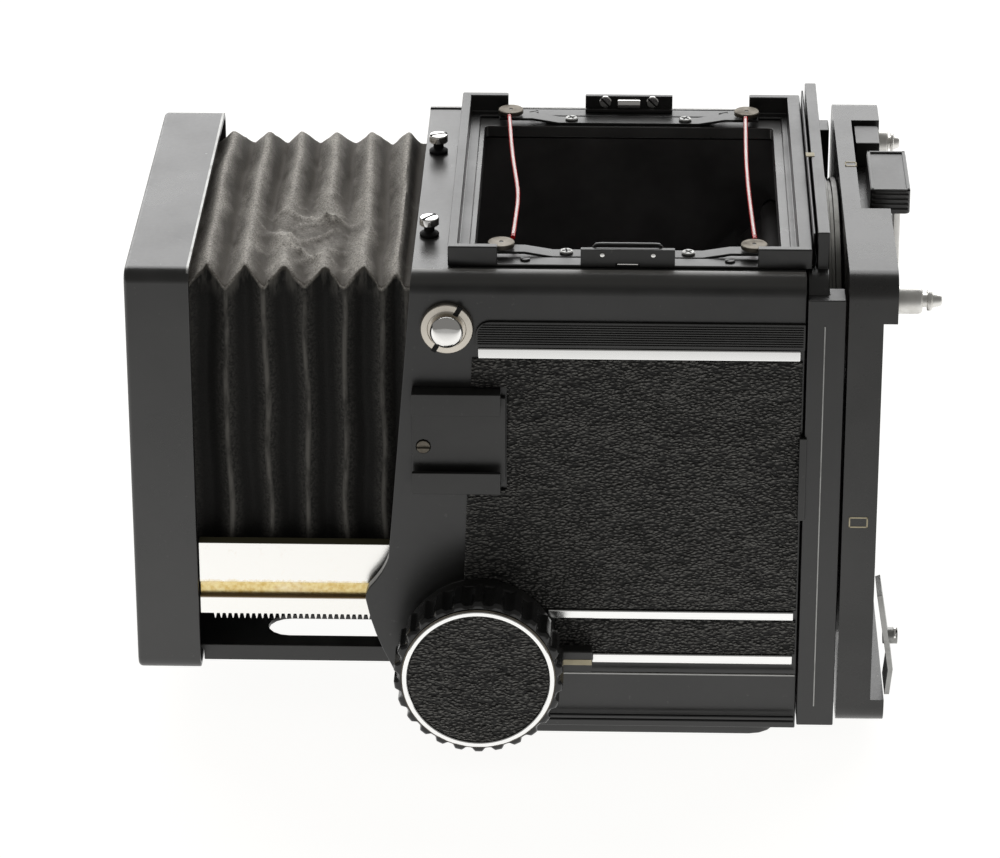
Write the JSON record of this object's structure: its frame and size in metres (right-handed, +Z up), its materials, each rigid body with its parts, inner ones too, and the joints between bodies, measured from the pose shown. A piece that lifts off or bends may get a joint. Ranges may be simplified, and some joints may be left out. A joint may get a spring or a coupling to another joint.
{
  "type": "bellows camera body",
  "caption": "Medium-format reflex camera body with a bellows front on racked rails, an open finder well with format lines, and a square revolving back.",
  "frame": {"origin": "middle of the bounding box on the plane that the base plate stands on", "axes": "-X towards the lens mount, +X towards the film, +Y towards the camera's right side, +Z up"},
  "size_m": [0.174, 0.138, 0.118],
  "materials": {
    "black_enamel": "satin black enamel, worn bright on a few edges",
    "matt_black": "matt black anti-reflection paint",
    "black_steel": "black oxide and thin black paint over steel",
    "leatherette": "pebbled black leatherette",
    "pleated_cloth": "dusty black pleated bellows cloth",
    "chrome": "polished chrome",
    "satin_steel": "satin ground steel with some old grease",
    "aged_brass": "aged plated brass",
    "grey_steel": "plain grey steel",
    "silvered_glass": "front-silvered glass",
    "red_plastic": "clear red plastic line with a pale core",
    "ivory_mark": "aged ivory paint in engraved marks"
  },
  "bodies": {
    "body": {"left_side_cover": "black_enamel", "right_side_cover": "black_enamel", "front_frame": "black_enamel", "deck_plate": "black_enamel", "mirror_box": "matt_black", "bottom_casting": "black_enamel", "base_plate": "black_enamel", "tripod_socket": "satin_steel", "rear_frame": "black_enamel", "left_leatherette": "leatherette", "left_lower_leatherette": "leatherette", "right_leatherette": "leatherette", "left_plate": "black_steel", "right_plate": "black_steel", "left_upper_trim": "chrome", "left_middle_trim": "chrome", "left_lower_trim": "chrome", "left_strap_lug": "chrome", "right_strap_lug": "chrome", "accessory_shoe": "black_steel", "shoe_screw": "black_steel", "bellows": "pleated_cloth", "finder_frame": "black_enamel", "left_finder_catch": "black_steel", "right_finder_catch": "black_steel", "left_deck_screw": "chrome", "right_deck_screw": "chrome", "left_leaf_bar": "black_steel", "right_leaf_bar": "black_steel"},
    "front_standard": {"front_standard": "black_enamel", "lens_mount_ring": "satin_steel", "left_rail": "satin_steel", "right_rail": "satin_steel", "slide_plate": "black_steel"},
    "cocking_ring": {"cocking_ring": "grey_steel"},
    "focus_shaft": {"pinion_shaft": "satin_steel", "left_knob": "black_enamel", "left_knob_ring": "chrome", "left_knob_inlay": "leatherette", "right_knob": "black_enamel"},
    "focus_lock": {"focus_lock_lever": "black_steel"},
    "mirror": {"mirror_carrier": "matt_black", "mirror_glass": "silvered_glass", "mirror_pin": "satin_steel"},
    "rear_baffle": {"rear_baffle": "matt_black"},
    "cocking_lever": {"cocking_lever": "black_enamel"},
    "release_button": {"release_button": "chrome"},
    "release_collar": {"release_collar": "grey_steel"},
    "revolving_back": {"revolving_ring": "black_steel", "revolving_adapter": "black_enamel"},
    "adapter_lock": {"adapter_lock": "black_steel"},
    "left_interlock_pin": {"left_interlock_pin": "chrome"},
    "right_interlock_pin": {"right_interlock_pin": "chrome"},
    "lower_latch": {"lower_latch": "grey_steel"},
    "front_left_disc": {"front_left_disc": "aged_brass"},
    "front_right_disc": {"front_right_disc": "aged_brass"},
    "rear_left_disc": {"rear_left_disc": "aged_brass"},
    "rear_right_disc": {"rear_right_disc": "aged_brass"},
    "front_format_line": {"front_format_line": "red_plastic"},
    "rear_format_line": {"rear_format_line": "red_plastic"}
  },
  "joints": [
    {"name": "focus_slide", "type": "slide", "parent": "body", "child": "front_standard", "axis": [1, 0, 0], "range_m": [0, 0.046], "deforming": ["bellows"]},
    {"name": "focus_turn", "type": "hinge", "parent": "body", "child": "focus_shaft", "pos_m": [-0.0111, 0, 0.02278], "axis": [0, 1, 0], "range_deg": [0, 708]},
    {"name": "focus_lock_turn", "type": "hinge", "parent": "body", "child": "focus_lock", "pos_m": [-0.0111, -0.0556, 0.02278], "axis": [0, 1, 0], "range_deg": [0, 25]},
    {"name": "mirror_swing", "type": "hinge", "parent": "body", "child": "mirror", "pos_m": [0.0531, 0, 0.0905], "axis": [0, 1, 0], "range_deg": [0, 45]},
    {"name": "baffle_swing", "type": "hinge", "parent": "body", "child": "rear_baffle", "pos_m": [0.0553, 0, 0.0855], "axis": [0, 1, 0], "range_deg": [0, 90]},
    {"name": "cocking_ring_turn", "type": "hinge", "parent": "front_standard", "child": "cocking_ring", "pos_m": [-0.082, 0, 0.0576], "axis": [1, 0, 0], "range_deg": [0, 35]},
    {"name": "cocking_stroke", "type": "hinge", "parent": "body", "child": "cocking_lever", "pos_m": [0.0361, 0.055, 0.056], "axis": [0, -1, 0], "range_deg": [0, 55], "stiffness_Nm_per_rad": 0.03, "springref_deg": -17.19},
    {"name": "release_press", "type": "slide", "parent": "body", "child": "release_button", "axis": [1, 0, 0], "range_m": [0, 0.003], "stiffness_N_per_m": 80, "springref_m": -0.0015},
    {"name": "release_collar_turn", "type": "hinge", "parent": "body", "child": "release_collar", "pos_m": [-0.0276, 0.036, 0.0079], "axis": [-1, 0, 0], "range_deg": [0, 90]},
    {"name": "back_turn", "type": "hinge", "parent": "body", "child": "revolving_back", "pos_m": [0.0691, 0, 0.0576], "axis": [-1, 0, 0], "range_deg": [0, 90]},
    {"name": "adapter_lock_slide", "type": "slide", "parent": "revolving_back", "child": "adapter_lock", "axis": [0, 1, 0], "range_m": [0, 0.006]},
    {"name": "left_pin_press", "type": "slide", "parent": "revolving_back", "child": "left_interlock_pin", "axis": [-1, 0, 0], "range_m": [0, 0.003], "stiffness_N_per_m": 80, "springref_m": -0.0015},
    {"name": "right_pin_press", "type": "slide", "parent": "revolving_back", "child": "right_interlock_pin", "axis": [-1, 0, 0], "range_m": [0, 0.003], "stiffness_N_per_m": 80, "springref_m": -0.0015},
    {"name": "lower_latch_swing", "type": "hinge", "parent": "revolving_back", "child": "lower_latch", "pos_m": [0.07805, -0.047, 0.0115], "axis": [0, 1, 0], "range_deg": [0, 20], "stiffness_Nm_per_rad": 0.002, "springref_deg": -28.65},
    {"name": "front_left_disc_turn", "type": "hinge", "parent": "body", "child": "front_left_disc", "pos_m": [-0.0068, -0.0396, 0.1126], "axis": [0, 0, 1], "range_deg": [0, 180.1]},
    {"name": "front_right_disc_turn", "type": "hinge", "parent": "body", "child": "front_right_disc", "pos_m": [-0.0068, 0.0396, 0.1126], "axis": [0, 0, -1], "range_deg": [0, 180.1]},
    {"name": "rear_left_disc_turn", "type": "hinge", "parent": "body", "child": "rear_left_disc", "pos_m": [0.0471, -0.0396, 0.1126], "axis": [0, 0, -1], "range_deg": [0, 90.1]},
    {"name": "rear_right_disc_turn", "type": "hinge", "parent": "body", "child": "rear_right_disc", "pos_m": [0.0471, 0.0396, 0.1126], "axis": [0, 0, 1], "range_deg": [0, 90.1]},
    {"name": "front_line_shift", "type": "slide", "parent": "body", "child": "front_format_line", "axis": [-1, 0, 0], "range_m": [0, 0.0048]},
    {"name": "rear_line_shift", "type": "slide", "parent": "body", "child": "rear_format_line", "axis": [1, 0, 0], "range_m": [0, 0.0024]}
  ],
  "couplings": [
    {"joint": "focus_turn", "follows": "focus_slide", "rad_per_m": 268.51},
    {"joint": "baffle_swing", "follows": "mirror_swing", "ratio": 2},
    {"joint": "cocking_ring_turn", "follows": "mirror_swing", "ratio": 0.7777},
    {"joint": "front_left_disc_turn", "follows": "back_turn", "ratio": 2},
    {"joint": "front_right_disc_turn", "follows": "back_turn", "ratio": 2},
    {"joint": "rear_left_disc_turn", "follows": "back_turn", "ratio": 1},
    {"joint": "rear_right_disc_turn", "follows": "back_turn", "ratio": 1},
    {"joint": "front_line_shift", "follows": "back_turn", "m_per_rad": 0.0030555},
    {"joint": "rear_line_shift", "follows": "back_turn", "m_per_rad": 0.0015276}
  ]
}
